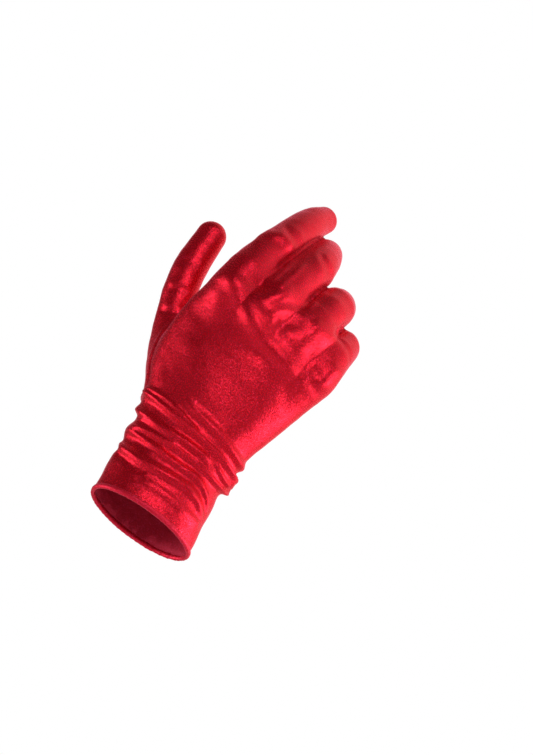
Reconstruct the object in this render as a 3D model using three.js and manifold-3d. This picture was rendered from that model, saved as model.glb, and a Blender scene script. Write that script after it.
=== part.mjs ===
// A wrist-length dress glove of stretch satin for the right hand, in the form it has on a hand that
// grips: the back of the hand bent back at the wrist, the fingers curled, the thumb set against them.
// It is a hollow skin of sewn pieces: the hand with its four finger stalls and gathered wrist, the
// set-in thumb, the fork strips between the fingers, and the rolled hem round the opening.
// Frame: origin at the centre of the opening, +Z from the opening up the arm's axis to the hand,
// -Y out of the back of the hand, -X to the thumb's side.
import * as THREE from "three";
import Module from "manifold-3d";

const wasm = await Module();
wasm.setup();

// Sizes in millimetres and degrees.
const wall = 1.2;
const seamGap = 0.3;
const cuffLength = 48;
const cuffWidth = 56;
const cuffDepth = 41;
const hemHeight = 3;
const hemThickness = 2.2;
const palmLength = 72;
const handBreadth = 77;
const handThickness = 27;
const webLength = 22;
const wristBend = -17;
const wristBendLength = 28;
const knuckleBend = 38;
const knuckleBendLength = 24;
const fingerWidth = 18;
const indexLength = 89;
const middleLength = 91;
const ringLength = 86;
const littleLength = 70;
const thumbWidth = 20;
const thumbLength = 100;

// How finely the skin is faceted, and how much of the gathers shows: the hollow's lining is
// coarser and follows them by half, as the bunched cloth is thicker there.
const skinDetail = { sides: 40, gatherStep: 2.8, handStep: 7, stallSides: 12, stallRings: 13, gathers: 1 };
const hollowDetail = { sides: 28, gatherStep: 4.5, handStep: 9, stallSides: 10, stallRings: 11, gathers: 0.4 };
const tipRings = 2;

// Sections of the gathered wrist. Each row's place is a share of the cuff's length, its half
// widths to the thumb's side and the little finger's are shares of the cuff's width, and its
// half depths to the back and the palm are shares of the cuff's depth.
const cuffSections = [
  { along: 0.0, thumbSide: 0.5, littleSide: 0.5, back: 0.5, palm: 0.5 },
  { along: 0.17, thumbSide: 0.51, littleSide: 0.49, back: 0.49, palm: 0.49 },
  { along: 0.36, thumbSide: 0.535, littleSide: 0.46, back: 0.48, palm: 0.48 },
  { along: 0.46, thumbSide: 0.545, littleSide: 0.45, back: 0.47, palm: 0.475 },
  { along: 0.6, thumbSide: 0.525, littleSide: 0.435, back: 0.455, palm: 0.465 },
  { along: 0.76, thumbSide: 0.585, littleSide: 0.415, back: 0.44, palm: 0.46 },
  { along: 0.9, thumbSide: 0.56, littleSide: 0.455, back: 0.43, palm: 0.455 },
  { along: 1.04, thumbSide: 0.575, littleSide: 0.43, back: 0.42, palm: 0.45 },
];

// Sections of the hand, from the wrist at 0 to the knuckle line at 1. Half widths are shares of
// the hand's breadth, half depths of its thickness. The two curls say how far each border bends
// to the palm, and slant how far the section leans towards the little finger's shorter side.
const handSections = [
  { along: 0.16, thumbSide: 0.44, littleSide: 0.318, back: 0.6, palm: 0.66, thumbCurl: 0.05, littleCurl: 0, slant: 0, power: 2 },
  { along: 0.34, thumbSide: 0.53, littleSide: 0.36, back: 0.55, palm: 0.68, thumbCurl: 0.25, littleCurl: 0.05, slant: -0.02, power: 2.1 },
  { along: 0.52, thumbSide: 0.585, littleSide: 0.4, back: 0.51, palm: 0.62, thumbCurl: 0.36, littleCurl: 0.12, slant: -0.06, power: 2.2 },
  { along: 0.7, thumbSide: 0.585, littleSide: 0.43, back: 0.47, palm: 0.54, thumbCurl: 0.34, littleCurl: 0.18, slant: -0.13, power: 2.3 },
  { along: 0.86, thumbSide: 0.555, littleSide: 0.46, back: 0.44, palm: 0.46, thumbCurl: 0.22, littleCurl: 0.22, slant: -0.2, power: 2.4 },
  { along: 1.0, thumbSide: 0.52, littleSide: 0.475, back: 0.4, palm: 0.42, thumbCurl: 0.14, littleCurl: 0.22, slant: -0.24, power: 2.5 },
];

// The hand's end past the knuckles, where the fingers part. Places are shares of the web's length.
const webSections = [
  { along: 0.5, thumbSide: 0.46, littleSide: 0.45, back: 0.37, palm: 0.38, thumbCurl: 0.08, littleCurl: 0.15, slant: -0.25, power: 2.5 },
  { along: 0.85, thumbSide: 0.42, littleSide: 0.42, back: 0.31, palm: 0.33, thumbCurl: 0.06, littleCurl: 0.1, slant: -0.25, power: 2.5 },
  { along: 1.0, thumbSide: 0.36, littleSide: 0.36, back: 0.14, palm: 0.18, thumbCurl: 0.06, littleCurl: 0.1, slant: -0.25, power: 2.5 },
];

// Gathers of the wrist. Angles run from the little finger's side at 0 over the back at 90 to the
// thumb's side at 180. Places are shares of the cuff's length, widths and heights of the wall's
// own fold, so a deeper fold is a taller row.
const foldWidth = 2.6;
const foldHeight = 2.4;
const folds = [
  { fromAngle: 0, toAngle: 150, from: 1.18, middle: 1.2, to: 1.22, width: 1.3, height: 0.8 },
  { fromAngle: -25, toAngle: 205, from: 0.95, middle: 1.03, to: 1.2, width: 0.8, height: 1.0 },
  { fromAngle: 20, toAngle: 230, from: 0.82, middle: 0.88, to: 1.04, width: 1.0, height: 1.1 },
  { fromAngle: 5, toAngle: 175, from: 0.78, middle: 0.74, to: 0.92, width: 0.8, height: 1.0 },
  { fromAngle: 15, toAngle: 215, from: 0.56, middle: 0.5, to: 0.7, width: 1.3, height: 0.8 },
  { fromAngle: 20, toAngle: 100, from: 0.3, middle: 0.3, to: 0.42, width: 1.5, height: 0.4 },
  { fromAngle: 200, toAngle: 350, from: 0.98, middle: 0.84, to: 0.98, width: 1.2, height: 0.6 },
  { fromAngle: 215, toAngle: 340, from: 0.62, middle: 0.58, to: 0.62, width: 1.3, height: 0.5 },
];

// The stalls. A knuckle's place is in shares of the hand's breadth, thickness and palm length, and
// its radii, at each joint and the tip, are shares of the finger's width. Each bone's length is a
// share of the finger's, it leans to the little finger's side and it is flexed towards the palm.
const stalls = [
  {
    name: "index", length: indexLength, width: fingerWidth, side: -0.395, palmar: 0.1, along: 1.075,
    rootSide: -0.3, rootLength: 26, rootDrop: 6, radii: [0.4, 0.6, 0.565, 0.5, 0.4],
    bones: [{ share: 0.52, lean: 9, flex: 36 }, { share: 0.3, lean: 9, flex: 50 }, { share: 0.18, lean: 14, flex: 58 }],
  },
  {
    name: "middle", length: middleLength, width: fingerWidth, side: -0.138, palmar: -0.05, along: 1.04,
    rootSide: -0.1, rootLength: 26, rootDrop: 5, radii: [0.42, 0.6, 0.595, 0.5, 0.4],
    bones: [{ share: 0.495, lean: 8, flex: 37 }, { share: 0.32, lean: 1, flex: 63 }, { share: 0.185, lean: 1, flex: 84 }],
  },
  {
    name: "ring", length: ringLength, width: fingerWidth, side: 0.115, palmar: -0.03, along: 0.97,
    rootSide: 0.1, rootLength: 26, rootDrop: 5, radii: [0.42, 0.59, 0.59, 0.49, 0.39],
    bones: [{ share: 0.45, lean: 9, flex: 38 }, { share: 0.345, lean: 1, flex: 88 }, { share: 0.195, lean: -2, flex: 116 }],
  },
  {
    name: "little", length: littleLength, width: fingerWidth, side: 0.35, palmar: 0.12, along: 0.89,
    rootSide: 0.26, rootLength: 22, rootDrop: 3, radii: [0.36, 0.53, 0.51, 0.44, 0.37],
    bones: [{ share: 0.44, lean: 4, flex: 42 }, { share: 0.325, lean: 0, flex: 92 }, { share: 0.22, lean: -4, flex: 116 }],
  },
];
const thumbStall = {
  name: "thumb", length: thumbLength, width: thumbWidth, side: -0.33, palmar: 0.3, along: 0.17,
  rootSide: -0.24, rootLength: 9, rootDrop: -7, radii: [0.44, 0.52, 0.435, 0.45, 0.4],
  bones: [{ share: 0.45, lean: -25.5, flex: 34 }, { share: 0.34, lean: -16, flex: 18 }, { share: 0.21, lean: -3, flex: 17 }],
};

// The fork strips between neighbouring fingers: which stalls each joins, how wide it is, and where
// it begins and ends as shares of the line down the finger's middle, from root to tip.
const forkWidth = 10;
const forks = [
  { name: "fork_index_middle", joins: [0, 1], from: 0.345, to: 0.66 },
  { name: "fork_middle_ring", joins: [1, 2], from: 0.345, to: 0.66 },
  { name: "fork_ring_little", joins: [2, 3], from: 0.36, to: 0.64 },
];

const radians = THREE.MathUtils.degToRad;
const smoothstep = THREE.MathUtils.smoothstep;
const wristStation = cuffLength;
const knuckleStation = cuffLength + palmLength;
const endStation = knuckleStation + webLength;
const bends = [
  { centre: wristStation, spread: wristBendLength, turn: radians(wristBend) },
  { centre: knuckleStation, spread: knuckleBendLength, turn: radians(knuckleBend) },
];

// The line up the middle of the arm and hand, in the YZ plane: straight runs joined by arcs.
// Heading is the angle from +Z towards +Y, the palm's side.
function spineAt(station) {
  let y = 0;
  let z = 0;
  let heading = 0;
  let reached = 0;
  for (const { centre, spread, turn } of bends) {
    const start = centre - spread / 2;
    const run = Math.min(station, start) - reached;
    y += run * Math.sin(heading);
    z += run * Math.cos(heading);
    if (station <= start) return { y, z, heading };
    const turned = turn * Math.min(1, (station - start) / spread);
    const radius = spread / turn;
    y += radius * (Math.cos(heading) - Math.cos(heading + turned));
    z += radius * (Math.sin(heading + turned) - Math.sin(heading));
    heading += turned;
    reached = start + spread;
    if (station <= reached) return { y, z, heading };
  }
  return {
    y: y + (station - reached) * Math.sin(heading),
    z: z + (station - reached) * Math.cos(heading),
    heading,
  };
}

// Every section in millimetres, by its station along the spine.
const sections = [
  ...cuffSections.map((row) => ({
    station: row.along * cuffLength,
    thumbSide: row.thumbSide * cuffWidth,
    littleSide: row.littleSide * cuffWidth,
    back: row.back * cuffDepth,
    palm: row.palm * cuffDepth,
    thumbCurl: 0,
    littleCurl: 0,
    slant: 0,
    power: 2,
  })),
  ...handSections.map((row) => handSection(row, wristStation + row.along * palmLength)),
  ...webSections.map((row) => handSection(row, knuckleStation + row.along * webLength)),
];

function handSection(row, station) {
  return {
    station,
    thumbSide: row.thumbSide * handBreadth,
    littleSide: row.littleSide * handBreadth,
    back: row.back * handThickness,
    palm: row.palm * handThickness,
    thumbCurl: row.thumbCurl * handThickness,
    littleCurl: row.littleCurl * handThickness,
    slant: row.slant,
    power: row.power,
  };
}

// A table's columns between its rows, on a cubic through the rows.
function between(rows, key, at) {
  const last = rows.length - 1;
  let i = rows.findIndex((row) => row[key] > at) - 1;
  if (i < 0) i = at <= rows[0][key] ? 0 : last - 1;
  const [a, b] = [rows[i], rows[i + 1]];
  const [before, after] = [rows[Math.max(0, i - 1)], rows[Math.min(last, i + 2)]];
  const span = b[key] - a[key];
  const t = THREE.MathUtils.clamp((at - a[key]) / span, 0, 1);
  const mixed = {};
  for (const column of Object.keys(a)) {
    const slopeA = ((b[column] - before[column]) / (b[key] - before[key])) * span;
    const slopeB = ((after[column] - a[column]) / (after[key] - a[key])) * span;
    mixed[column] =
      a[column] * (2 * t ** 3 - 3 * t ** 2 + 1) +
      slopeA * (t ** 3 - 2 * t ** 2 + t) +
      b[column] * (3 * t ** 2 - 2 * t ** 3) +
      slopeB * (t ** 3 - t ** 2);
  }
  return mixed;
}

// How far the gathers stand out at an angle round the wrist and a station along it.
function gatherHeight(angle, station) {
  let height = 0;
  for (const fold of folds) {
    const span = fold.toAngle - fold.fromAngle;
    const past = THREE.MathUtils.euclideanModulo(angle - fold.fromAngle, 360);
    if (past >= span) continue;
    const t = past / span;
    const line = (1 - t) ** 2 * fold.from + 2 * t * (1 - t) * fold.middle + t ** 2 * fold.to;
    const across = (station - line * cuffLength) / (fold.width * foldWidth);
    const ends = smoothstep(t, 0, 0.2) * smoothstep(1 - t, 0, 0.2);
    height = Math.max(height, fold.height * foldHeight * ends * Math.exp(-across * across));
  }
  return height;
}

// A point of the arm and hand's skin, let in by inset along the section's own normal.
function sleevePoint(station, angle, inset, gathers) {
  const row = between(sections, "station", station);
  const { y, z, heading } = spineAt(station);
  const [c, s] = [Math.cos(radians(angle)), Math.sin(radians(angle))];
  const side = c > 0 ? row.littleSide : row.thumbSide;
  const depth = s > 0 ? row.back : row.palm;
  const bow = 2 / row.power;
  const across = Math.sign(c) * Math.abs(c) ** bow;
  const deep = Math.sign(s) * Math.abs(s) ** bow;
  const normal = new THREE.Vector2(
    (Math.sign(c) * Math.abs(c) ** (2 - bow)) / side,
    (Math.sign(s) * Math.abs(s) ** (2 - bow)) / depth,
  ).normalize();
  const out = gathers * gatherHeight(angle, station) - inset;
  const x = side * across + normal.x * out;
  const back = depth * deep + normal.y * out;
  const curl = c > 0 ? row.littleCurl : row.thumbCurl;
  const palmar = curl * across * across - back;
  const forward = row.slant * x;
  return new THREE.Vector3(
    x,
    y + palmar * Math.cos(heading) + forward * Math.sin(heading),
    z - palmar * Math.sin(heading) + forward * Math.cos(heading),
  );
}

// A place in the hand's own axes: to the little finger's side, to the palm, and along the hand.
function handPoint(x, palmar, along) {
  const heading = radians(wristBend);
  return new THREE.Vector3(
    x,
    palmar * Math.cos(heading) + along * Math.sin(heading),
    cuffLength - palmar * Math.sin(heading) + along * Math.cos(heading),
  );
}

// A closed solid through rings of points, each end closed by a fan.
function loft(rings) {
  const sides = rings[0].length;
  const points = rings.flat();
  const centreOf = (ring) =>
    ring.reduce((sum, p) => sum.add(p), new THREE.Vector3()).divideScalar(sides);
  const [start, end] = [points.length, points.length + 1];
  points.push(centreOf(rings[0]), centreOf(rings.at(-1)));
  const triangles = [];
  const lastRing = (rings.length - 1) * sides;
  for (let j = 0; j < sides; j++) {
    const next = (j + 1) % sides;
    triangles.push(start, next, j);
    triangles.push(end, lastRing + j, lastRing + next);
    for (let i = 0; i < lastRing; i += sides) {
      triangles.push(i + j, i + next, i + sides + next);
      triangles.push(i + j, i + sides + next, i + sides + j);
    }
  }
  return new wasm.Manifold(
    new wasm.Mesh({
      numProp: 3,
      vertProperties: new Float32Array(points.flatMap((p) => p.toArray())),
      triVerts: new Uint32Array(triangles),
    }),
  );
}

function sleeve(inset, fromStation, detail) {
  const rings = [];
  const gathersEnd = 1.35 * cuffLength;
  const end = endStation - inset;
  const stations = [];
  for (let s = fromStation; s < gathersEnd; s += detail.gatherStep) stations.push(s);
  for (let s = gathersEnd; s < end - detail.handStep / 2; s += detail.handStep) stations.push(s);
  stations.push(end);
  for (const station of stations) {
    const ring = [];
    for (let j = 0; j < detail.sides; j++) {
      ring.push(sleevePoint(station, (-360 * j) / detail.sides, inset, detail.gathers));
    }
    rings.push(ring);
  }
  return loft(rings);
}

// A stall's joints, from the knuckle to the middle of the fingertip.
function jointsOf(stall) {
  const palmar = stall.palmar * handThickness;
  const knuckle = stall.along * palmLength;
  const joints = [
    handPoint(stall.rootSide * handBreadth, palmar + stall.rootDrop, knuckle - stall.rootLength),
    handPoint(stall.side * handBreadth, palmar, knuckle),
  ];
  for (const { share, lean, flex } of stall.bones) {
    const length = share * stall.length;
    const forward = length * Math.cos(radians(lean));
    const step = handPoint(
      length * Math.sin(radians(lean)),
      forward * Math.sin(radians(flex)),
      forward * Math.cos(radians(flex)),
    ).sub(handPoint(0, 0, 0));
    joints.push(joints.at(-1).clone().add(step));
  }
  return joints;
}

// The line down the middle of a stall, from its root in the hand to the fingertip.
function middleOf(stall) {
  return new THREE.CatmullRomCurve3(jointsOf(stall), false, "centripetal");
}

function stallSolid(stall, inset, { stallSides, stallRings }) {
  const curve = middleOf(stall);
  const radii = stall.radii.map((share) => share * stall.width);
  const rings = [];
  const addRing = (centre, tangent, radius) => {
    const across = new THREE.Vector3(1, 0, 0).addScaledVector(tangent, -tangent.x).normalize();
    const back = new THREE.Vector3().crossVectors(tangent, across);
    const ring = [];
    for (let j = 0; j < stallSides; j++) {
      const angle = (2 * Math.PI * j) / stallSides;
      ring.push(
        centre
          .clone()
          .addScaledVector(across, radius * Math.cos(angle))
          .addScaledVector(back, radius * Math.sin(angle)),
      );
    }
    rings.push(ring);
  };
  for (let i = 0; i <= stallRings; i++) {
    const t = i / stallRings;
    const bone = Math.min(3, Math.floor(t * 4));
    const radius = THREE.MathUtils.lerp(radii[bone], radii[bone + 1], t * 4 - bone);
    addRing(curve.getPoint(t), curve.getTangent(t), radius - inset);
  }
  const [tip, tangent] = [curve.getPoint(1), curve.getTangent(1)];
  const tipRadius = radii.at(-1) - inset;
  for (let i = 1; i <= tipRings; i++) {
    const angle = (radians(80) * i) / tipRings;
    const centre = tip.clone().addScaledVector(tangent, tipRadius * Math.sin(angle));
    addRing(centre, tangent, tipRadius * Math.cos(angle));
  }
  return loft(rings);
}

// The hand and its fingers as one solid, let in by inset all over.
function handSolid(inset, fromStation, detail) {
  return stalls.reduce(
    (solid, stall) => solid.add(stallSolid(stall, inset, detail)),
    sleeve(inset, fromStation, detail),
  );
}

// The space between two fingers that a fork strip fills, grown by a margin on every side.
function forkSpace({ joins, from, to }, margin) {
  const [a, b] = joins.map((i) => middleOf(stalls[i]));
  const reach = margin / a.getLength();
  const rings = [];
  const steps = 8;
  for (let i = 0; i <= steps; i++) {
    const t = THREE.MathUtils.lerp(from - reach, to + reach, i / steps);
    const [p, q] = [a.getPoint(t), b.getPoint(t)];
    const across = q.clone().sub(p).normalize();
    const back = new THREE.Vector3().crossVectors(a.getTangent(t).add(b.getTangent(t)), across);
    back.setLength(forkWidth / 2 + margin);
    rings.push([p.clone().sub(back), q.clone().sub(back), q.clone().add(back), p.clone().add(back)]);
  }
  return loft(rings);
}

function hemSolid() {
  const profile = [
    { out: 0.5, up: 0 },
    { out: 1, up: 0.35 },
    { out: 1, up: 0.75 },
    { out: 0.6, up: 1 },
    { out: 0, up: 1 },
    { out: 0, up: 0.1 },
  ];
  const { sides } = skinDetail;
  const points = [];
  const triangles = [];
  const proud = (hemThickness - wall) / 2;
  for (let j = 0; j < sides; j++) {
    for (const { out, up } of profile) {
      const inset = wall + proud - out * hemThickness;
      const at = sleevePoint(0, (-360 * j) / sides, inset, 0);
      points.push(at.x, at.y, up * hemHeight);
    }
    for (let k = 0; k < profile.length; k++) {
      const a = j * profile.length + k;
      const b = j * profile.length + ((k + 1) % profile.length);
      const round = ((j + 1) % sides) * profile.length - j * profile.length;
      triangles.push(a, a + round, b + round, a, b + round, b);
    }
  }
  return new wasm.Manifold(
    new wasm.Mesh({
      numProp: 3,
      vertProperties: new Float32Array(points),
      triVerts: new Uint32Array(triangles),
    }),
  );
}

function meshOf(name, solid, material) {
  const { vertProperties, triVerts } = solid.getMesh();
  const geometry = new THREE.BufferGeometry()
    .setAttribute("position", new THREE.BufferAttribute(new Float32Array(vertProperties), 3))
    .setIndex(new THREE.BufferAttribute(new Uint32Array(triVerts), 1));
  geometry.computeVertexNormals();
  const mesh = new THREE.Mesh(geometry, material);
  mesh.name = name;
  return mesh;
}

const satin = new THREE.MeshStandardMaterial({ color: 0xb4061c, roughness: 0.4, metalness: 0 });
const rolledEdge = new THREE.MeshStandardMaterial({ color: 0x8c0416, roughness: 0.5, metalness: 0 });

const fabricStart = hemHeight + seamGap;
const skin = handSolid(0, fabricStart, skinDetail);
const hollow = handSolid(wall, fabricStart - wall, hollowDetail);
const thumbHollow = stallSolid(thumbStall, wall, hollowDetail);
const cloth = skin.subtract(hollow).subtract(thumbHollow);
const hand = forks.reduce((rest, fork) => rest.subtract(forkSpace(fork, seamGap)), cloth);
const thumb = stallSolid(thumbStall, 0, skinDetail)
  .subtract(thumbHollow)
  .subtract(handSolid(-seamGap, fabricStart, skinDetail));

const glove = new THREE.Group();
glove.add(meshOf("hand_shell", hand, satin));
glove.add(meshOf("thumb", thumb, satin));
for (const fork of forks) {
  glove.add(meshOf(fork.name, cloth.intersect(forkSpace(fork, 0)), satin));
}
glove.add(meshOf("cuff_hem", hemSolid(), rolledEdge));
export default glove;
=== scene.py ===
"""A wrist-length dress glove of red stretch satin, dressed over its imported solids.

Shapes are worked out in millimetres and become metres when a mesh is made. The cloth is one surface
drawn round a field: a sleeve of sections up a bent spine, with five stalls blended into it. It is
then creased, cut into its sewn pieces along their seams, and given its thickness.
"""

import math

import bpy
import numpy as np
from mathutils import Matrix, Vector, noise


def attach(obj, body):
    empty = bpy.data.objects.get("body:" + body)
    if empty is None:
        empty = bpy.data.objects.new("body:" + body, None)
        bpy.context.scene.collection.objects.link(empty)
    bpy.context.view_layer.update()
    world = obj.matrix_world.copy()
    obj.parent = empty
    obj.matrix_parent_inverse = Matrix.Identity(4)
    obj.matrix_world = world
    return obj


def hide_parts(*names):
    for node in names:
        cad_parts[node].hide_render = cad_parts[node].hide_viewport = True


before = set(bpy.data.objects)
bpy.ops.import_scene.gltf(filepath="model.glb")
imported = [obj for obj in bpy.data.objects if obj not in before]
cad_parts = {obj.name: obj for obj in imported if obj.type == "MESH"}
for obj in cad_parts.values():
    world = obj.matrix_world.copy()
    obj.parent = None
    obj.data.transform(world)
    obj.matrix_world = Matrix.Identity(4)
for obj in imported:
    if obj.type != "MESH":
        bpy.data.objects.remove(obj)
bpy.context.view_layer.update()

# Sizes in millimetres, as in the part. The spine bends at the wrist and at the knuckles, each bend
# with its place, its length and its turn in radians. Angles in the tables are in degrees.
CUFF_LENGTH, CUFF_WIDTH, CUFF_DEPTH = 48.0, 56.0, 41.0
PALM_LENGTH, HAND_BREADTH, HAND_THICKNESS, WEB_LENGTH = 72.0, 77.0, 27.0, 22.0
FINGER_WIDTH, THUMB_WIDTH, FORK_WIDTH = 18.0, 20.0, 10.0
HEM_HEIGHT, HEM_THICKNESS = 3.0, 2.2
CLOTH = 0.9
WRIST, KNUCKLES = CUFF_LENGTH, CUFF_LENGTH + PALM_LENGTH
END = KNUCKLES + WEB_LENGTH
HAND_TURN = math.radians(-17)
BENDS = [(WRIST, 28.0, HAND_TURN), (KNUCKLES, 24.0, math.radians(38))]
# The cells of the grid that the surface is drawn from, and the share of the lining's faces that is
# thinned out afterwards, because little of it shows.
CELL = 0.79
LINING_THINNED = 0.9

# Sections up the spine, as shares of each stretch's length, width and thickness: the place along it,
# half widths to the thumb's and the little finger's side, half depths to the back and palm, how far
# each border curls to the palm, the section's slant, and the power of its outline, 2 for an ellipse.
# The cuff's sections are ellipses that neither curl nor slant.
CUFF = [
    (0.0, 0.5, 0.5, 0.5, 0.5),
    (0.17, 0.51, 0.49, 0.49, 0.49),
    (0.36, 0.535, 0.46, 0.48, 0.48),
    (0.46, 0.545, 0.45, 0.47, 0.475),
    (0.6, 0.525, 0.435, 0.455, 0.465),
    (0.76, 0.585, 0.415, 0.44, 0.46),
    (0.9, 0.56, 0.455, 0.43, 0.455),
    (1.04, 0.575, 0.43, 0.42, 0.45),
]
HAND = [
    (0.16, 0.44, 0.318, 0.6, 0.66, 0.05, 0, 0, 2),
    (0.34, 0.53, 0.36, 0.55, 0.68, 0.25, 0.05, -0.02, 2.1),
    (0.52, 0.585, 0.4, 0.51, 0.62, 0.36, 0.12, -0.06, 2.2),
    (0.7, 0.585, 0.43, 0.47, 0.54, 0.34, 0.18, -0.13, 2.3),
    (0.86, 0.555, 0.46, 0.44, 0.46, 0.22, 0.22, -0.2, 2.4),
    (1.0, 0.52, 0.475, 0.4, 0.42, 0.14, 0.22, -0.24, 2.5),
]
WEB = [
    (0.5, 0.46, 0.45, 0.37, 0.38, 0.08, 0.15, -0.25, 2.5),
    (0.85, 0.42, 0.42, 0.31, 0.33, 0.06, 0.1, -0.25, 2.5),
    (1.0, 0.36, 0.36, 0.14, 0.18, 0.06, 0.1, -0.25, 2.5),
]

# Stalls: knuckle as shares across, to the palm and along the hand; root across, before the knuckle
# and to the palm; radii as shares of the width; and each bone's share, lean and flex.
STALLS = {
    "index": dict(
        length=89, width=FINGER_WIDTH, knuckle=(-0.395, 0.1, 1.075), root=(-0.3, 26, 6),
        radii=(0.4, 0.6, 0.565, 0.5, 0.4), bones=((0.52, 9, 36), (0.3, 9, 50), (0.18, 14, 58)),
    ),
    "middle": dict(
        length=91, width=FINGER_WIDTH, knuckle=(-0.138, -0.05, 1.04), root=(-0.1, 26, 5),
        radii=(0.42, 0.6, 0.595, 0.5, 0.4), bones=((0.495, 8, 37), (0.32, 1, 63), (0.185, 1, 84)),
    ),
    "ring": dict(
        length=86, width=FINGER_WIDTH, knuckle=(0.115, -0.03, 0.97), root=(0.1, 26, 5),
        radii=(0.42, 0.59, 0.59, 0.49, 0.39), bones=((0.45, 9, 38), (0.345, 1, 88), (0.195, -2, 116)),
    ),
    "little": dict(
        length=70, width=FINGER_WIDTH, knuckle=(0.35, 0.12, 0.89), root=(0.26, 22, 3),
        radii=(0.36, 0.53, 0.51, 0.44, 0.37), bones=((0.44, 4, 42), (0.325, 0, 92), (0.22, -4, 116)),
    ),
    "thumb": dict(
        length=100, width=THUMB_WIDTH, knuckle=(-0.33, 0.3, 0.17), root=(-0.24, 9, -7),
        radii=(0.44, 0.52, 0.435, 0.45, 0.4), bones=((0.45, -25.5, 34), (0.34, -16, 18), (0.21, -3, 17)),
    ),
}
FINGERS = ["index", "middle", "ring", "little"]
# Between which shares of its two fingers' length each fork strip runs.
FORKS = {"index_middle": (0.345, 0.66), "middle_ring": (0.345, 0.66), "ring_little": (0.36, 0.64)}

# The photograph's camera: degrees, millimetres and pixels.
ELEVATION, ROLL, DISTANCE, PX_PER_MM = -25.0, 36.0, 2200.0, 2.09
OPENING_PX, MIDDLE_PX, FRAME_PX = (139.0, 524.5), (266.5, 377.5), (533, 755)
SENSOR, CLIP = 36, (0.05, 50)

# The sections are sampled in steps, from below the opening to past the end of the webs. A border's
# curl stops growing this many half widths from the middle.
BELOW_OPENING, PAST_END, STATION_STEP = 6.0, 12, 0.25
CURL_LIMIT = 1.4

# Millimetres in a metre, and a distance beyond any that is measured.
MM_PER_METRE, FAR = 1000, 1e6


def section_table():
    """Every section's columns in millimetres, sampled finely up the spine on a cubic through the rows."""
    rows = [
        (up * CUFF_LENGTH, thumb * CUFF_WIDTH, little * CUFF_WIDTH, back * CUFF_DEPTH,
         palm * CUFF_DEPTH, 0, 0, 0, 2)
        for up, thumb, little, back, palm in CUFF
    ]
    for table, start, length in ((HAND, WRIST, PALM_LENGTH), (WEB, KNUCKLES, WEB_LENGTH)):
        for up, thumb, little, back, palm, thumb_curl, little_curl, slant, power in table:
            rows.append(
                (start + up * length, thumb * HAND_BREADTH, little * HAND_BREADTH,
                 back * HAND_THICKNESS, palm * HAND_THICKNESS, thumb_curl * HAND_THICKNESS,
                 little_curl * HAND_THICKNESS, slant, power)
            )
    rows = np.array(rows, float)
    last = len(rows) - 1
    at = np.arange(-BELOW_OPENING, END + PAST_END, STATION_STEP)
    i = np.clip(np.searchsorted(rows[:, 0], at, side="right") - 1, 0, last - 1)
    a, b = rows[i], rows[i + 1]
    before, after = rows[np.maximum(i - 1, 0)], rows[np.minimum(i + 2, last)]
    span = (b - a)[:, :1]
    t = np.clip((at[:, None] - a[:, :1]) / span, 0, 1)
    slope_a = (b - before) / (b - before)[:, :1] * span
    slope_b = (after - a) / (after - a)[:, :1] * span
    mixed = (
        a * (2 * t**3 - 3 * t**2 + 1)
        + slope_a * (t**3 - 2 * t**2 + t)
        + b * (3 * t**2 - 2 * t**3)
        + slope_b * (t**3 - t**2)
    )
    return at, mixed


STATIONS, SECTIONS = section_table()
COLUMNS = {name: i + 1 for i, name in enumerate(
    ("thumb_side", "little_side", "back", "palm", "thumb_curl", "little_curl", "slant", "power"))}


def column(name, station):
    """One measure of the sections at stations up the spine."""
    return np.interp(station, STATIONS, SECTIONS[:, COLUMNS[name]])


def to_spine(y, z):
    """The station up the spine and the offset to the palm of points in its plane."""
    y, z = np.broadcast_arrays(np.asarray(y, float), np.asarray(z, float))
    along, off, reached = z.copy(), y.copy(), 0.0
    station, palmar = np.zeros(z.shape), np.zeros(z.shape)
    left = np.ones(z.shape, bool)
    for centre, spread, turn in BENDS:
        start, sign, angle = centre - spread / 2, math.copysign(1, turn), abs(turn)
        radius = spread / angle
        a = along - (start - reached)
        q = radius - sign * off
        phi = np.arctan2(a, q)
        straight = left & (a < 0)
        station[straight], palmar[straight] = start + a[straight], off[straight]
        arc = left & (a >= 0) & (phi < angle)
        station[arc] = start + radius * phi[arc]
        palmar[arc] = sign * (radius - np.hypot(a[arc], q[arc]))
        left &= ~(straight | arc)
        along = a * math.cos(angle) - q * math.sin(angle)
        off = sign * (radius - a * math.sin(angle) - q * math.cos(angle))
        reached = start + spread
    station[left], palmar[left] = reached + along[left], off[left]
    return station, palmar


def on_sleeve(x, y, z):
    """A point's place in the sleeve's own sections: station, share across, share deep, and sizes."""
    station, palmar = to_spine(y, z)
    station = station - column("slant", station) * x
    side = np.where(x > 0, column("little_side", station), column("thumb_side", station))
    curl = np.where(x > 0, column("little_curl", station), column("thumb_curl", station))
    across = x / side
    palmar = palmar - curl * np.clip(across, -CURL_LIMIT, CURL_LIMIT) ** 2
    depth = np.where(palmar < 0, column("back", station), column("palm", station))
    return station, across, palmar / depth, side, depth


def sleeve_field(x, y, z, least=1e-4):
    """Distance to the sleeve's skin, from the shares across and deep, held just above 0."""
    station, across, deep, side, depth = on_sleeve(x, y, z)
    power = column("power", station)
    u, v = np.abs(across) + least, np.abs(deep) + least
    f = (u**power + v**power) ** (1 / power)
    slope = f ** (1 - power) * np.hypot(u ** (power - 1) / side, v ** (power - 1) / depth)
    return np.maximum((f - 1) / slope, station - END)


def hand_point(x, palmar, along):
    """A point given across the hand, to the palm and along the hand from the wrist."""
    c, s = math.cos(HAND_TURN), math.sin(HAND_TURN)
    return np.array([x, palmar * c + along * s, CUFF_LENGTH - palmar * s + along * c])


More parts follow.
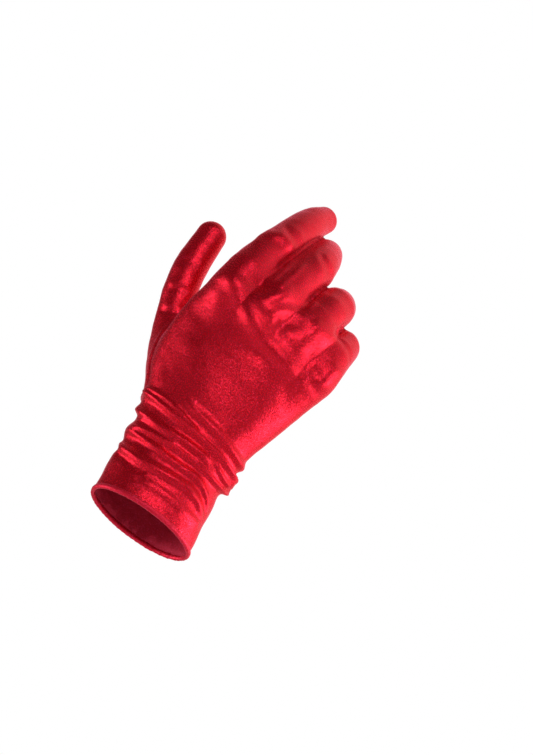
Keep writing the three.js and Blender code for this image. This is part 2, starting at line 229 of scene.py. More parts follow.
def middle_line(stall, count=33):
    """Points down a stall's middle, on a centripetal cubic through its joints, and their radii."""
    side, palmar, along = stall["knuckle"]
    root_side, root_length, root_drop = stall["root"]
    palmar, along = palmar * HAND_THICKNESS, along * PALM_LENGTH
    joints = [
        hand_point(root_side * HAND_BREADTH, palmar + root_drop, along - root_length),
        hand_point(side * HAND_BREADTH, palmar, along),
    ]
    for share, lean, flex in stall["bones"]:
        length, lean, flex = share * stall["length"], math.radians(lean), math.radians(flex)
        step = (length * math.sin(lean), length * math.cos(lean) * math.sin(flex),
                length * math.cos(lean) * math.cos(flex))
        joints.append(joints[-1] + hand_point(*step) - hand_point(0, 0, 0))
    p = np.array([2 * joints[0] - joints[1], *joints, 2 * joints[-1] - joints[-2]])
    radii = np.array(stall["radii"]) * stall["width"]
    t = np.linspace(0, 1, count)
    points = []
    for at in t * (len(joints) - 1):
        i = min(int(at), len(joints) - 2)
        w = at - i
        x0, x1, x2, x3 = p[i:i + 4]
        d0, d1, d2 = (math.sqrt(np.linalg.norm(b - a)) for a, b in ((x0, x1), (x1, x2), (x2, x3)))
        t1 = ((x1 - x0) / d0 - (x2 - x0) / (d0 + d1) + (x2 - x1) / d1) * d1
        t2 = ((x2 - x1) / d1 - (x3 - x1) / (d1 + d2) + (x3 - x2) / d2) * d1
        points.append(x1 + t1 * w + (3 * (x2 - x1) - 2 * t1 - t2) * w**2 + (2 * (x1 - x2) + t1 + t2) * w**3)
    return np.array(points), np.interp(t * (len(joints) - 1), np.arange(len(radii)), radii)


LINES = {name: middle_line(stall) for name, stall in STALLS.items()}


def stall_field(name, x, y, z, step=2):
    """Distance to a stall's skin, as a chain of round cones, and the share down its middle."""
    points, radii = (v[::step] for v in LINES[name])
    best = np.full(np.broadcast(x, y, z).shape, FAR)
    share = np.zeros(best.shape)
    for i in range(len(points) - 1):
        a, d = points[i], points[i + 1] - points[i]
        vx, vy, vz = x - a[0], y - a[1], z - a[2]
        h = np.clip((vx * d[0] + vy * d[1] + vz * d[2]) / (d @ d), 0, 1)
        gap = np.sqrt((vx - h * d[0]) ** 2 + (vy - h * d[1]) ** 2 + (vz - h * d[2]) ** 2)
        gap -= radii[i] + h * (radii[i + 1] - radii[i])
        nearer = gap < best
        best = np.where(nearer, gap, best)
        share = np.where(nearer, (i + h) / (len(points) - 1), share)
    return best, share


# How softly each stall runs into the sleeve, and the box of the grid, which starts inside the hem.
BLEND = {"index": 7.0, "middle": 7.0, "ring": 7.0, "little": 7.0, "thumb": 10.0}
GRID_LOW, GRID_HIGH, GRID_MARGIN = (-70.0, -39.0, 1.4), (43.0, 48.0, 213.0), 3


def blended(a, b, reach):
    """The nearer of two fields, with a rounded valley where they meet."""
    h = np.maximum(reach - np.abs(a - b), 0) / reach
    return np.minimum(a, b) - h * h * reach / 4


def glove_field(p):
    """Distance to the whole glove's skin, below 0 inside."""
    x, y, z = p.T
    sleeve = sleeve_field(x, y, z)
    out = sleeve
    for name in STALLS:
        out = np.minimum(out, blended(sleeve, stall_field(name, x, y, z)[0], BLEND[name]))
    return out


def grid_field():
    """The field on a grid of cubes over the glove."""
    axes = [np.arange(low, high, CELL) for low, high in zip(GRID_LOW, GRID_HIGH)]
    x, y, z = axes[0][:, None, None], axes[1][None, :, None], axes[2][None, None, :]
    sleeve = sleeve_field(x, y, z)
    out = sleeve.copy()
    for name in STALLS:
        points, radii = LINES[name]
        reach = radii.max() + BLEND[name] + GRID_MARGIN
        part = tuple(
            slice(*np.searchsorted(axes[i], (points[:, i].min() - reach, points[:, i].max() + reach)))
            for i in range(3)
        )
        stall = stall_field(name, x[part[0]], y[:, part[1]], z[:, :, part[2]])[0]
        out[part] = np.minimum(out[part], blended(sleeve[part], stall, BLEND[name]))
    return axes, out


def surface(axes, field):
    """One quad for each grid edge that crosses zero, through one point in each cube round it."""
    inside = field < 0
    nx, ny, nz = (n - 1 for n in field.shape)
    corners = [(i, j, k) for i in (0, 1) for j in (0, 1) for k in (0, 1)]
    count = np.zeros((nx, ny, nz), int)
    for i, j, k in corners:
        count += inside[i:nx + i, j:ny + j, k:nz + k]
    cubes = np.argwhere((count > 0) & (count < len(corners)))
    number = np.full(count.shape, -1)
    number[tuple(cubes.T)] = np.arange(len(cubes))
    value = {c: field[tuple((cubes + c).T)] for c in corners}
    total, crossings = np.zeros((len(cubes), 3)), np.zeros(len(cubes))
    for a in corners:
        for axis in range(3):
            if a[axis]:
                continue
            b = tuple(1 if i == axis else v for i, v in enumerate(a))
            cut = (value[a] < 0) != (value[b] < 0)
            t = np.where(cut, value[a] / np.where(cut, value[a] - value[b], 1), 0)
            point = np.array(a, float) + t[:, None] * (np.array(b) - np.array(a))
            total += point * cut[:, None]
            crossings += cut
    points = (cubes + total / crossings[:, None]) * CELL + [axis[0] for axis in axes]
    quads = []
    for axis in range(3):
        u, v = (axis + 1) % 3, (axis + 2) % 3
        edge = [slice(1, -1)] * 3
        edge[axis] = slice(0, -1)
        ahead = list(edge)
        ahead[axis] = slice(1, None)
        starts = inside[tuple(edge)]
        cut = np.argwhere(starts != inside[tuple(ahead)])
        offset = np.ones(3, int)
        offset[axis] = 0
        outward = starts[tuple(cut.T)]
        at = cut + offset
        around = []
        for du, dv in ((1, 1), (0, 1), (0, 0), (1, 0)):
            cell = at.copy()
            cell[:, u] -= du
            cell[:, v] -= dv
            around.append(number[tuple(cell.T)])
        quad = np.stack(around, 1)
        quads.append(np.where(outward[:, None], quad, quad[:, ::-1]))
    return points, np.concatenate(quads)


def slope_of(p, step=0.35):
    """The field's slope at points."""
    out = np.zeros_like(p)
    for axis in range(3):
        move = np.zeros(3)
        move[axis] = step
        out[:, axis] = (glove_field(p + move) - glove_field(p - move)) / (2 * step)
    return out


def edges_of(quads):
    """The four sides of every quad, as pairs of points."""
    return np.concatenate([quads[:, [0, 1]], quads[:, [1, 2]], quads[:, [2, 3]], quads[:, [3, 0]]])


def smoothed(p, edges, times, amount):
    """Moves every point a share of the way to the middle of its neighbours, some times over."""
    for _ in range(times):
        total, count = np.zeros_like(p), np.zeros(len(p))
        for a, b in ((0, 1), (1, 0)):
            for axis in range(p.shape[1]):
                total[:, axis] += np.bincount(edges[:, a], p[edges[:, b], axis], len(p))
            count += np.bincount(edges[:, a], minlength=len(p))
        p = p + amount * (total / np.maximum(count, 1)[:, None] - p)
    return p


def normals_of(p, quads, least=1e-9):
    """The surface's outward directions at its points."""
    out = np.zeros_like(p)
    d1, d2 = p[quads[:, 2]] - p[quads[:, 0]], p[quads[:, 3]] - p[quads[:, 1]]
    flat = np.cross(d1, d2)
    for corner in range(4):
        for axis in range(3):
            out[:, axis] += np.bincount(quads[:, corner], flat[:, axis], len(p))
    return out / np.maximum(np.linalg.norm(out, axis=1), least)[:, None]


def smoothstep(x, low, high):
    """0 up to low, 1 from high on, and an even S between them."""
    t = np.clip((x - low) / (high - low), 0, 1)
    return t * t * (3 - 2 * t)


# The photograph's view, as axes to its right, up and towards the camera.
PITCH, TILT = math.radians(ELEVATION), math.radians(ROLL)
TOWARDS = np.array([0.0, -math.cos(PITCH), math.sin(PITCH)])
LEVEL_RIGHT, LEVEL_UP = np.array([1.0, 0, 0]), np.array([0.0, math.sin(PITCH), math.cos(PITCH)])
RIGHT = math.cos(TILT) * LEVEL_RIGHT + math.sin(TILT) * LEVEL_UP
UP = -math.sin(TILT) * LEVEL_RIGHT + math.cos(TILT) * LEVEL_UP
AIM = ((MIDDLE_PX[0] - OPENING_PX[0]) / PX_PER_MM, (OPENING_PX[1] - MIDDLE_PX[1]) / PX_PER_MM)


def to_photo(p):
    """Where points show in the photograph, in its pixels."""
    scale = PX_PER_MM * DISTANCE / (DISTANCE - p @ TOWARDS)
    return np.stack(
        [MIDDLE_PX[0] + (p @ RIGHT - AIM[0]) * scale, MIDDLE_PX[1] - (p @ UP - AIM[1]) * scale], 1)


# Gathers of the wrist: height in mm, below 0 for a hollow, how far each falls towards the hand and
# towards the opening, and its crest: points round the wrist from the little finger's side at 0 over
# the back at 90 to the thumb's side at 180 and on over the palm, each an angle with its height above
# the opening. A gather fades in and out over a share of its length.
GATHER_ENDS = 0.15
GATHERS = [
    (1.9, 4.6, 3.2, [
        (-35, 56), (-10, 54.4), (10, 54), (30, 54.5), (45, 55.5), (60, 57), (75, 58.7), (90, 60),
        (104, 61.2), (122, 64),
    ]),
    (1.4, 2.0, 2.6, [
        (88, 52.6), (95, 53), (104, 54), (115, 56), (127, 57.8), (138, 58.8), (150, 59), (165, 59),
        (190, 58),
    ]),
    (2.6, 1.3, 3.8, [
        (-25, 46), (0, 47), (22, 47.5), (42, 48.3), (61, 49.6), (79, 50.2), (93, 51.2), (104, 51.8),
        (119, 52.8), (132, 54.2), (149, 55.8), (170, 57), (195, 57),
    ]),
    (2.0, 4.0, 3.0, [
        (60, 42), (75, 42.5), (99, 42.8), (109, 42.6), (120, 42.8), (132, 43.2), (149, 44.8),
        (160, 45.8), (176, 47.5), (205, 50),
    ]),
    (0.9, 1.0, 1.3, [(98, 38.6), (108, 39.7), (121, 41), (135, 42), (152, 43), (166, 41)]),
    (2.6, 1.3, 3.0, [
        (-30, 46), (-4, 41), (10, 38.8), (27, 37.3), (49, 36), (73, 36.2), (91, 36.2), (112, 36.3),
        (132, 36.6), (151, 36.6), (170, 39),
    ]),
    (1.1, 1.1, 2.2, [(8, 42), (20, 41.8), (36, 41.6), (49, 42.6), (62, 45.2)]),
    (1.7, 3.0, 2.6, [
        (18, 22), (28, 24), (40, 26.5), (56, 28.8), (71, 29.5), (85, 29), (106, 29), (116, 30.3),
        (128, 31), (149, 33.2), (175, 36),
    ]),
    (1.9, 4.6, 3.2, [
        (20, 17), (35, 19), (51, 21), (70, 22), (90, 21), (105, 20.3), (122, 20.3), (135, 21.3),
        (151, 23), (172, 27), (200, 30),
    ]),
    (0.8, 3.2, 4.0, [(20, 15), (42, 13), (62, 12), (79, 12.5), (93, 12.5), (118, 12)]),
    (-0.9, 3.5, 3.5, [(112, 16), (129, 16), (150, 19.5), (165, 20)]),
    (1.2, 2.2, 1.8, [(-60, 52), (-35, 45), (0, 43.5), (25, 44.5)]),
    (1.2, 2.4, 2.6, [(190, 48), (240, 44), (290, 42), (340, 49)]),
    (1.3, 2.4, 2.6, [(185, 38), (235, 33), (285, 32), (345, 36)]),
    (1.0, 3.0, 3.0, [(190, 27), (250, 22), (310, 24), (350, 28)]),
    (1.1, 2.0, 2.4, [(190, 57), (255, 52), (300, 53), (340, 57)]),
    (0.7, 3.2, 3.6, [(190, 14), (240, 11), (300, 12)]),
]


def gathers(p):
    """How far the bunched cloth of the wrist stands out, in mm."""
    station, across, deep, _, _ = on_sleeve(*p.T)
    angle = np.degrees(np.arctan2(-deep, across))
    height = np.zeros(len(p))
    for tall, above, below, line in GATHERS:
        angles, places = np.array(line, float).T
        past = (angle - angles[0]) % 360
        span = angles[-1] - angles[0]
        fade = GATHER_ENDS * span
        off = station - np.interp(past, angles - angles[0], places)
        ends = smoothstep(past, 0, fade) * smoothstep(span - past, 0, fade)
        fall = smoothstep(np.where(off > 0, off / above, -off / below), 0, 1)
        height += tall * ends * (1 - fall)
    return height


# Creases and swells that the photograph shows, as lines through its pixels: the piece they lie on,
# height in mm, below 0 for a groove, width in pixels, and the points. Where lines meet they add up to
# no more than the limit, each fades over a share of its length, and none is drawn on cloth that the
# camera doesn't see: how far the cloth faces it rises from none to full between two values.
STROKE_LIMIT, STROKE_ENDS, STROKE_FALL = 2.4, 0.25, 2
FACING = (0.0, 0.3)
STROKES = [
    ("hand", 2.6, 11, [
        (222, 270), (235, 290), (249, 312), (262, 337), (276, 354), (291, 370), (304, 384),
        (317, 392),
    ]),
    ("hand", 1.3, 10, [(312, 388), (325, 384), (333, 373), (341, 364)]),
    ("hand", 1.3, 10, [(224, 272), (244, 292), (264, 301), (282, 296), (298, 285)]),
    ("hand", 0.6, 6, [(256, 312), (274, 309), (289, 308), (304, 314)]),
    ("hand", -0.6, 8, [(263, 303), (276, 303), (286, 304), (306, 307)]),
    ("hand", -0.6, 11, [(270, 320), (286, 322), (308, 326)]),
    ("hand", -0.6, 12, [(288, 336), (300, 350), (318, 360)]),
    ("hand", -0.5, 7, [(312, 368), (324, 377)]),
    ("hand", -0.5, 12, [(250, 346), (274, 362), (290, 372), (300, 384)]),
    ("hand", 1.3, 11, [(310, 324), (324, 332), (334, 344)]),
    ("hand", 0.5, 22, [(190, 330), (200, 372), (214, 410)]),
    ("hand", -0.8, 4.5, [(248, 278), (256, 283), (267, 286), (279, 286)]),
    ("hand", -1.5, 2.8, [(268, 285), (285, 272), (300.5, 257), (316, 244), (329, 233)]),
    ("hand", -0.8, 2.3, [(267, 280), (283, 265), (296, 254)]),
    ("hand", 0.5, 2.6, [(270, 282), (284, 269), (298, 256)]),
    ("hand", 0.8, 5.0, [(276, 290), (292, 275), (308, 261)]),
    ("hand", -1.3, 2.8, [(303, 308), (311.7, 299.4), (320.6, 290.6), (332, 281.5)]),
    ("hand", 0.7, 3.4, [(307, 309), (318, 299), (329, 290)]),
    ("hand", -1.0, 2.8, [(333, 337), (343, 328), (349, 321)]),
    ("hand", 1.5, 7.5, [(250, 246), (260, 236), (268, 234), (280, 236), (288, 243), (296, 255)]),
    ("hand", 0.35, 6.0, [(275, 221), (286, 236), (299, 256)]),
    ("hand", -0.4, 6.0, [(282, 219), (291, 234), (302, 250)]),
    ("hand", -0.5, 4.5, [(319.4, 247), (326, 262), (333, 278)]),
    ("hand", 0.35, 5.0, [(313, 250), (320, 264), (327, 279)]),
    ("thumb", -0.6, 4.5, [(157, 311), (168, 310), (180, 313)]),
    ("thumb", 0.4, 6.0, [(159, 304), (170, 303), (183, 306)]),
    ("thumb", -0.45, 4.5, [(166, 291), (178, 288), (192, 292)]),
    ("thumb", 0.3, 6.0, [(166, 284), (178, 281), (194, 285)]),
    ("thumb", -0.4, 4.5, [(184, 256), (192, 262), (202, 262)]),
    ("thumb", 0.35, 8.0, [(171, 262), (180, 266), (196, 270)]),
]


def strokes(p, normal, label):
    """The heights that the photograph's lines add where their cloth faces the camera."""
    seen = smoothstep(normal @ TOWARDS, *FACING)
    where = to_photo(p)
    height = np.zeros(len(p))
    for piece, tall, wide, line in STROKES:
        points = np.array(line, float)
        lengths = np.linalg.norm(np.diff(points, axis=0), axis=1)
        total, walked = lengths.sum(), 0.0
        best, share = np.full(len(p), FAR), np.zeros(len(p))
        for a, b, length in zip(points[:-1], points[1:], lengths):
            d = b - a
            h = np.clip(((where - a) @ d) / (d @ d), 0, 1)
            gap = np.linalg.norm(where - a - h[:, None] * d, axis=1)
            nearer = gap < best
            best = np.where(nearer, gap, best)
            share = np.where(nearer, (walked + h * length) / total, share)
            walked += length
        ends = smoothstep(share, 0, STROKE_ENDS) * smoothstep(1 - share, 0, STROKE_ENDS)
        allowed = seen * (label == piece)
        height += tall * ends * allowed * np.exp(-((best / wide) ** 2) * STROKE_FALL)
    return STROKE_LIMIT * np.tanh(height / STROKE_LIMIT)


# The cloth's small forms in millimetres: between which heights the gathers and the thumb's seam start
# and end, the seams' grooves and the thumb's welt as height and width, and the unevenness of worn
# cloth as height, scale and seed.
GATHERS_END, GATHERS_START, SEAM_START = (60, 75), (1.5, 6), (56, 66)
SEAM_GROOVE, SEAM_WELT, FORK_GROOVE = (0.55, 1.1), (0.35, 1.2), (0.25, 1.1)
WELT_BESIDE = 2.4
WOBBLES = [(0.35, 16, 1), (0.14, 6, 2)]
SEED_SHIFT = (17.3, 5.1, 9.7)

# How the surface settles on the field, and how its outside and its lining are smoothed: times and
# amount. The lining follows a share of the folds' height.
SETTLES, SETTLE_SMOOTHING, LONGEST_STEP, LEAST_SLOPE = 2, (2, 0.5), 0.8, 0.2
OUTSIDE_SMOOTHING, LINING_SMOOTHING, LINING_FOLLOWS = (1, 0.25), (4, 0.5), 0.5


def wobble(p, scale, seed):
    """Smooth noise at points, from -1 to 1."""
    shift = Vector([seed * part for part in SEED_SHIFT])
    return np.array([noise.noise(Vector(q) / scale + shift) for q in p.tolist()])


def line_at(line, at):
    """A stall's line at places that are counted in its points."""
    return np.stack([np.interp(at, np.arange(len(line)), line[:, i]) for i in range(3)], 1)


def fork_share(p, first, second):
    """How far inside the strip between two fingers points lie, in mm, and below 0 outside it."""
    name = f"{first}_{second}"
    low, high = FORKS[name]
    out = np.full(len(p), -1.0)
    for own, other in ((first, second), (second, first)):
        _, share = stall_field(own, *p.T)
        mids, others = LINES[own][0], LINES[other][0]
        at = share * (len(mids) - 1)
        place = line_at(mids, at)
        across = line_at(others, at) - place
        reach = np.linalg.norm(across, axis=1, keepdims=True)
        across = across / reach
        back = np.cross(line_at(np.gradient(mids, axis=0), at), across)
        back /= np.linalg.norm(back, axis=1, keepdims=True)
        v = p - place
        beside = np.sum(v * across, 1)
        inner = np.minimum(FORK_WIDTH / 2 - np.abs(np.sum(v * back, 1)), beside)
        length = np.linalg.norm(np.diff(mids, axis=0), axis=1).sum()
        inner = np.minimum(inner, (share - low) * length)
        inner = np.minimum(inner, (high - share) * length)
        inner = np.minimum(inner, reach[:, 0] - beside)
        out = np.maximum(out, inner)
    return out


def glove_surface():
    """The cloth's outside: points, quads, and which sewn piece each point belongs to."""
    axes, field = grid_field()
    p, quads = surface(axes, field)
    edges = edges_of(quads)
    # The points of the open end stay in its plane.
    rim = p[:, 2] < axes[2][0] + CELL
    for _ in range(SETTLES):
        moved = smoothed(p, edges, *SETTLE_SMOOTHING)
        moved[rim, 2] = p[rim, 2]
        slope = slope_of(moved)
        step = np.clip(glove_field(moved), -LONGEST_STEP, LONGEST_STEP)
        step /= np.maximum(np.sum(slope**2, 1), LEAST_SLOPE)
        p = moved - step[:, None] * slope
        p[rim, 2] = axes[2][0] + CELL / 2
    normal = normals_of(p, quads)
    sleeve = sleeve_field(*p.T)
    gaps = {name: stall_field(name, *p.T)[0] for name in STALLS}
    hand = np.minimum(sleeve, np.minimum.reduce([gaps[n] for n in FINGERS]))
    thumb_seam = hand - gaps["thumb"]
    label = np.where(thumb_seam > 0, "thumb", "hand").astype(object)
    forks = {name: fork_share(p, *name.split("_")) for name in FORKS}
    return p, quads, edges, normal, label, thumb_seam, forks


def ridge(off, shape):
    """A height that falls off to both sides of a line."""
    tall, wide = shape
    return tall * np.exp(-((off / wide) ** 2))


def creased():
    """The cloth's outside with its folds, its smoother inside, and the piece each point belongs to."""
    p, quads, edges, normal, label, thumb_seam, forks = glove_surface()
    up = p[:, 2]
    height = gathers(p) * (1 - smoothstep(up, *GATHERS_END)) * smoothstep(up, *GATHERS_START)
    height += strokes(p, normal, label)
    height += sum(tall * wobble(p, scale, seed) for tall, scale, seed in WOBBLES)
    height -= ridge(thumb_seam, SEAM_GROOVE) * smoothstep(up, *SEAM_START)
    height += ridge(thumb_seam - WELT_BESIDE, SEAM_WELT) * smoothstep(up, *SEAM_START)
    for inner in forks.values():
        height -= ridge(inner, FORK_GROOVE)
    outside = smoothed(p + normal * height[:, None], edges, *OUTSIDE_SMOOTHING)
    lining = LINING_FOLLOWS * smoothed(height[:, None], edges, *LINING_SMOOTHING)[:, 0] - CLOTH
    inside = p + normal * np.minimum(lining, height - CLOTH / 2)[:, None]
    piece = label.copy()
    for name, inner in forks.items():
        piece[inner > 0] = name
    return outside, inside, quads, piece


def mesh_object(name, points, faces, shade=True):
    """An object in the scene, from points in millimetres."""
    mesh = bpy.data.meshes.new(name)
    mesh.from_pydata((np.asarray(points) / MM_PER_METRE).tolist(), [], [list(f) for f in faces])
    mesh.validate()
    mesh.update()
    if shade:
        mesh.shade_smooth()
    obj = bpy.data.objects.new(name, mesh)
    bpy.context.scene.collection.objects.link(obj)
    return obj


def decimated(obj, loose, share, hold=10.0):
    """Thins out the mesh's loose points to a share of its faces, and keeps the others."""
    group = obj.vertex_groups.new(name="loose")
    group.add(loose, 1.0, "REPLACE")
    modifier = obj.modifiers.new("thin", "DECIMATE")
    modifier.ratio = share
    modifier.vertex_group, modifier.vertex_group_factor = group.name, hold
    thin = bpy.data.meshes.new_from_object(obj.evaluated_get(bpy.context.evaluated_depsgraph_get()))
    obj.modifiers.clear()
    obj.vertex_groups.clear()
    obj.data = thin
    thin.shade_smooth()


def cloth_piece(name, outside, inside, quads, rows, material, lining):
    """A sewn piece: its outside, its inside with larger faces, and its cut edge."""
    quads = quads[rows]
    used, index = np.unique(quads, return_inverse=True)
    quads = index.reshape(quads.shape)
    outer, inner = outside[used], inside[used]
    count = len(used)
    sides = edges_of(quads)
    key = np.sort(sides, axis=1)
    _, first, times = np.unique(key, axis=0, return_index=True, return_counts=True)
    border = sides[first[times == 1]]
    rim = np.stack([border[:, 1], border[:, 0], border[:, 0] + count, border[:, 1] + count], 1)
    faces = np.concatenate([quads, quads[:, ::-1] + count, rim])
    obj = mesh_object(name, np.concatenate([outer, inner]), faces)
    obj.data.materials.append(material)
    obj.data.materials.append(lining)
    slots = np.zeros(len(faces), np.int32)
    slots[len(quads):2 * len(quads)] = 1
    obj.data.polygons.foreach_set("material_index", slots)
    free = np.setdiff1d(np.arange(count), border) + count
    decimated(obj, free.tolist(), 1 - LINING_THINNED * len(free) / (2 * count))
    return obj


def node(tree, kind, **values):
    """A new node, with values for its inputs or its settings by name."""
    made = tree.nodes.new(kind)
    for key, value in values.items():
        if key in made.inputs:
            made.inputs[key].default_value = value
        else:
            setattr(made, key, value)
    return made


# How far the satin's roughness varies, and how much brighter its painted glints (highlights painted into
# the base colour) are than its light colour.
ROUGHNESS_SPREAD = 0.08
PAINTED_GLINT_GAIN = (1.4, 6, 7)


def satin(name, deep, light, gloss, roughness, sheen):
    """Stretch satin with a short pile: a deep red body, rose gloss, painted glints (specks of painted
    highlight in its colour) and a fine grain.
    """
    material = bpy.data.materials.new(name)
    material.use_nodes = True
    tree = material.node_tree
    shader = tree.nodes["Principled BSDF"]
    shader.inputs["Metallic"].default_value = gloss
    shader.inputs["IOR"].default_value = 1.9
    shader.inputs["Specular IOR Level"].default_value = 1.0
    shader.inputs["Specular Tint"].default_value = (1.0, 0.12, 0.24, 1)
    shader.inputs["Sheen Weight"].default_value = sheen
    shader.inputs["Sheen Roughness"].default_value = 0.3
    shader.inputs["Sheen Tint"].default_value = (1.0, 0.22, 0.4, 1)
    place = node(tree, "ShaderNodeTexCoord")
    grain = node(tree, "ShaderNodeTexNoise", Scale=1300.0, Detail=2.0, Roughness=0.75)
    # This noise places the painted glints: specks of painted highlight, a brighter rose, in the base
    # colour.
    painted_glint_noise = node(tree, "ShaderNodeTexNoise", Scale=1400.0, Detail=2.0, Roughness=0.8)
    patch = node(tree, "ShaderNodeTexNoise", Scale=60.0, Detail=3.0, Roughness=0.6)
    weave = node(tree, "ShaderNodeTexNoise", Scale=2600.0, Detail=1.0)
    for texture in (grain, painted_glint_noise, patch, weave):
        tree.links.new(place.outputs["Object"], texture.inputs["Vector"])
    colour = node(tree, "ShaderNodeMix", data_type="RGBA")
    colour.inputs["A"].default_value = (*deep, 1)
    colour.inputs["B"].default_value = (*light, 1)
    tree.links.new(patch.outputs["Fac"], colour.inputs["Factor"])
    painted_glint_mask = node(tree, "ShaderNodeMapRange", interpolation_type="SMOOTHSTEP")
    painted_glint_mask.inputs["From Min"].default_value = 0.53
    painted_glint_mask.inputs["From Max"].default_value = 0.68
    painted_glint_mask.inputs["To Max"].default_value = 0.8
    tree.links.new(painted_glint_noise.outputs["Fac"], painted_glint_mask.inputs["Value"])
    # Painted highlights: where the glint noise peaks, the base colour is mixed towards a brighter rose.
    colour_with_painted_glints = node(tree, "ShaderNodeMix", data_type="RGBA")
    colour_with_painted_glints.inputs["B"].default_value = (*(gain * part for gain, part in zip(PAINTED_GLINT_GAIN, light)), 1)
    tree.links.new(painted_glint_mask.outputs["Result"], colour_with_painted_glints.inputs["Factor"])
    tree.links.new(colour.outputs["Result"], colour_with_painted_glints.inputs["A"])
    tree.links.new(colour_with_painted_glints.outputs["Result"], shader.inputs["Base Color"])
    rough = node(tree, "ShaderNodeMapRange")
    rough.inputs["To Min"].default_value = roughness - ROUGHNESS_SPREAD
    rough.inputs["To Max"].default_value = roughness + ROUGHNESS_SPREAD
    tree.links.new(grain.outputs["Fac"], rough.inputs["Value"])
    tree.links.new(rough.outputs["Result"], shader.inputs["Roughness"])
    fine = node(tree, "ShaderNodeBump", Strength=0.35, Distance=0.0002)
    coarse = node(tree, "ShaderNodeBump", Strength=0.56, Distance=0.0003)
    tree.links.new(weave.outputs["Fac"], fine.inputs["Height"])
    tree.links.new(grain.outputs["Fac"], coarse.inputs["Height"])
    tree.links.new(fine.outputs["Normal"], coarse.inputs["Normal"])
    tree.links.new(coarse.outputs["Normal"], shader.inputs["Normal"])
    return material


# The hem's tube: its points round the wrist and round itself, how far it lies inside the cuff's
# outline, and its unevenness: noise by height and scale, and stitches by height and number.
HEM_AROUND, HEM_ABOUT, HEM_INSET = 220, 14, 0.45
HEM_NOISE, HEM_NOISE_SCALE, HEM_NOISE_PLACE = 0.12, 9, 3.0
STITCH_HEIGHT, STITCHES = 0.05, 62


def rolled_hem(material):
    """The narrow rolled edge round the opening, a little uneven, as a closed tube."""
    around, about = HEM_AROUND, HEM_ABOUT
    points, faces = [], []
    side, back = CUFF_WIDTH / 2, CUFF_DEPTH / 2
    for i in range(around):
        angle = 2 * math.pi * i / around
        c, s = math.cos(angle), math.sin(angle)
        out = np.array([c / side, s / back])
        out /= np.linalg.norm(out)
        place = Vector((c * HEM_NOISE_SCALE, s * HEM_NOISE_SCALE, HEM_NOISE_PLACE))
        pucker = HEM_NOISE * noise.noise(place) + STITCH_HEIGHT * math.sin(angle * STITCHES)
        for j in range(about):
            turn = 2 * math.pi * j / about
            reach = HEM_THICKNESS / 2 * (1 + pucker) * math.cos(turn) - HEM_INSET
            points.append((
                side * c + out[0] * reach,
                back * s + out[1] * reach,
                HEM_HEIGHT / 2 * (1 + (1 + pucker) * math.sin(turn)),
            ))
    for i in range(around):
        for j in range(about):
            here, ahead = i * about, (i + 1) % around * about
            beside = (j + 1) % about
            faces.append((here + j, ahead + j, ahead + beside, here + beside))
    obj = mesh_object("rolled_hem", points, faces)
    obj.data.materials.append(material)
    return obj


# Studio lights, in metres and watts: each one's way from the glove as parts to the picture's right, up
# and towards its camera, its size and its power. The white surround behind the glove is brighter than
# the room in front of it: between two leans to its bright side it goes from one strength to the other.
MIDDLE, LIGHT_DISTANCE = np.array([-0.01, 0.0, 0.11]), 1.5
FLOOR_HEIGHT, FLOOR_HALF, FLOOR_PAINT, FLOOR_ROUGHNESS = -1600.0, 8000.0, (0.9, 0.9, 0.9, 1), 0.8
BRIGHT_SIDE = (0.6, -0.4, -0.6)
SURROUND = (-0.1, 0.8, 0.1, 1.25)
LIGHTS = [
    ("fold", (0.4, 0.64, 0.66), 0.32, 7),
    ("right", (0.92, -0.36, 0.08), 0.5, 11),
    ("left", (-0.95, 0.25, 0.05), 0.6, 9),
]


def area_light(name, place, target, size, power):
    """A round light that shines towards a target."""
    data = bpy.data.lights.new(name, "AREA")
    data.shape, data.size, data.energy = "DISK", size, power
    obj = bpy.data.objects.new(name, data)
    obj.location = place
    obj.rotation_euler = (Vector(target) - Vector(place)).to_track_quat("-Z", "Y").to_euler()
    bpy.context.scene.collection.objects.link(obj)


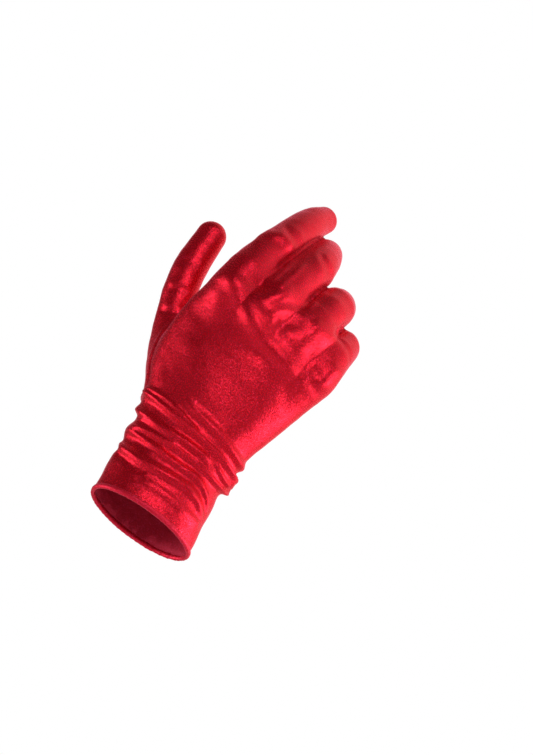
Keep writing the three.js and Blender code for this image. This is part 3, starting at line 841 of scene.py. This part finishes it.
def stage():
    """A pale floor well below the glove, a white surround, and soft studio lights."""
    ways = ((-1, -1), (1, -1), (1, 1), (-1, 1))
    corners = [(x * FLOOR_HALF, y * FLOOR_HALF, FLOOR_HEIGHT) for x, y in ways]
    floor = mesh_object("floor", corners, [(0, 1, 2, 3)], shade=False)
    paint = bpy.data.materials.new("floor_paint")
    paint.use_nodes = True
    painted = paint.node_tree.nodes["Principled BSDF"]
    painted.inputs["Base Color"].default_value = FLOOR_PAINT
    painted.inputs["Roughness"].default_value = FLOOR_ROUGHNESS
    floor.data.materials.append(paint)
    world = bpy.data.worlds.new("studio")
    world.use_nodes = True
    tree = world.node_tree
    background = tree.nodes["Background"]
    background.inputs["Color"].default_value = (1, 1, 1, 1)
    direction = node(tree, "ShaderNodeTexCoord")
    lean = node(tree, "ShaderNodeVectorMath", operation="DOT_PRODUCT")
    bright = sum(part * axis for part, axis in zip(BRIGHT_SIDE, (RIGHT, UP, TOWARDS)))
    lean.inputs[1].default_value = bright / np.linalg.norm(bright)
    glow = node(tree, "ShaderNodeMapRange", interpolation_type="SMOOTHSTEP")
    for key, value in zip(("From Min", "From Max", "To Min", "To Max"), SURROUND):
        glow.inputs[key].default_value = value
    rays = node(tree, "ShaderNodeLightPath")
    strength = node(tree, "ShaderNodeMix", data_type="FLOAT")
    strength.inputs["B"].default_value = 1.0
    tree.links.new(direction.outputs["Generated"], lean.inputs[0])
    tree.links.new(lean.outputs["Value"], glow.inputs["Value"])
    tree.links.new(rays.outputs["Is Camera Ray"], strength.inputs["Factor"])
    tree.links.new(glow.outputs["Result"], strength.inputs["A"])
    tree.links.new(strength.outputs["Result"], background.inputs["Strength"])
    bpy.context.scene.world = world
    bpy.context.scene.view_settings.view_transform = "Standard"
    for name, (right, up, towards), size, power in LIGHTS:
        way = right * RIGHT + up * UP + towards * TOWARDS
        place = MIDDLE + LIGHT_DISTANCE * way / np.linalg.norm(way)
        area_light(name, place, MIDDLE, size, power)


def camera():
    """The photograph's camera."""
    data = bpy.data.cameras.new("camera")
    obj = bpy.data.objects.new("camera", data)
    bpy.context.scene.collection.objects.link(obj)
    data.sensor_fit = "VERTICAL"
    data.sensor_height = SENSOR
    data.sensor_width = SENSOR
    data.lens = SENSOR * DISTANCE * PX_PER_MM / FRAME_PX[1]
    data.clip_start, data.clip_end = CLIP
    place = (AIM[0] * RIGHT + AIM[1] * UP + DISTANCE * TOWARDS) / MM_PER_METRE
    turn = Matrix((RIGHT, UP, TOWARDS)).transposed().to_4x4()
    obj.matrix_world = Matrix.Translation(Vector(place)) @ turn
    bpy.context.scene.camera = obj


stage()
camera()
outside = satin(
    "satin", deep=(0.56, 0.0015, 0.005), light=(0.7, 0.004, 0.012),
    gloss=0.65, roughness=0.27, sheen=0.3,
)
inside = satin(
    "satin_inside", deep=(0.34, 0.003, 0.008), light=(0.4, 0.005, 0.014),
    gloss=0.1, roughness=0.7, sheen=0.05,
)
edge = satin(
    "satin_hem", deep=(0.6, 0.003, 0.011), light=(0.72, 0.007, 0.022),
    gloss=0.45, roughness=0.4, sheen=0.5,
)

# A face goes to the thumb or to a fork strip where most of its corners lie in it.
MOST_CORNERS = 3
outer_skin, inner_skin, quads, piece = creased()
corner_pieces = piece[quads]
face_piece = corner_pieces[:, 0].copy()
for name in ["thumb", *FORKS]:
    most = np.sum(corner_pieces == name, 1) >= MOST_CORNERS
    face_piece[most] = name
    face_piece[~most & (face_piece == name)] = "hand"

# Each sewn piece's name in the scene, and the solid that it replaces.
NODES = {"hand": ("hand_cloth", "hand_shell"), "thumb": ("thumb_cloth", "thumb")}
NODES |= {name: (f"fork_cloth_{name}", f"fork_{name}") for name in FORKS}
for name, (title, cad_node) in NODES.items():
    made = cloth_piece(title, outer_skin, inner_skin, quads, face_piece == name, outside, inside)
    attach(made, "root")
    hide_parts(cad_node)
hem = rolled_hem(edge)
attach(hem, "root")
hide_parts("cuff_hem")
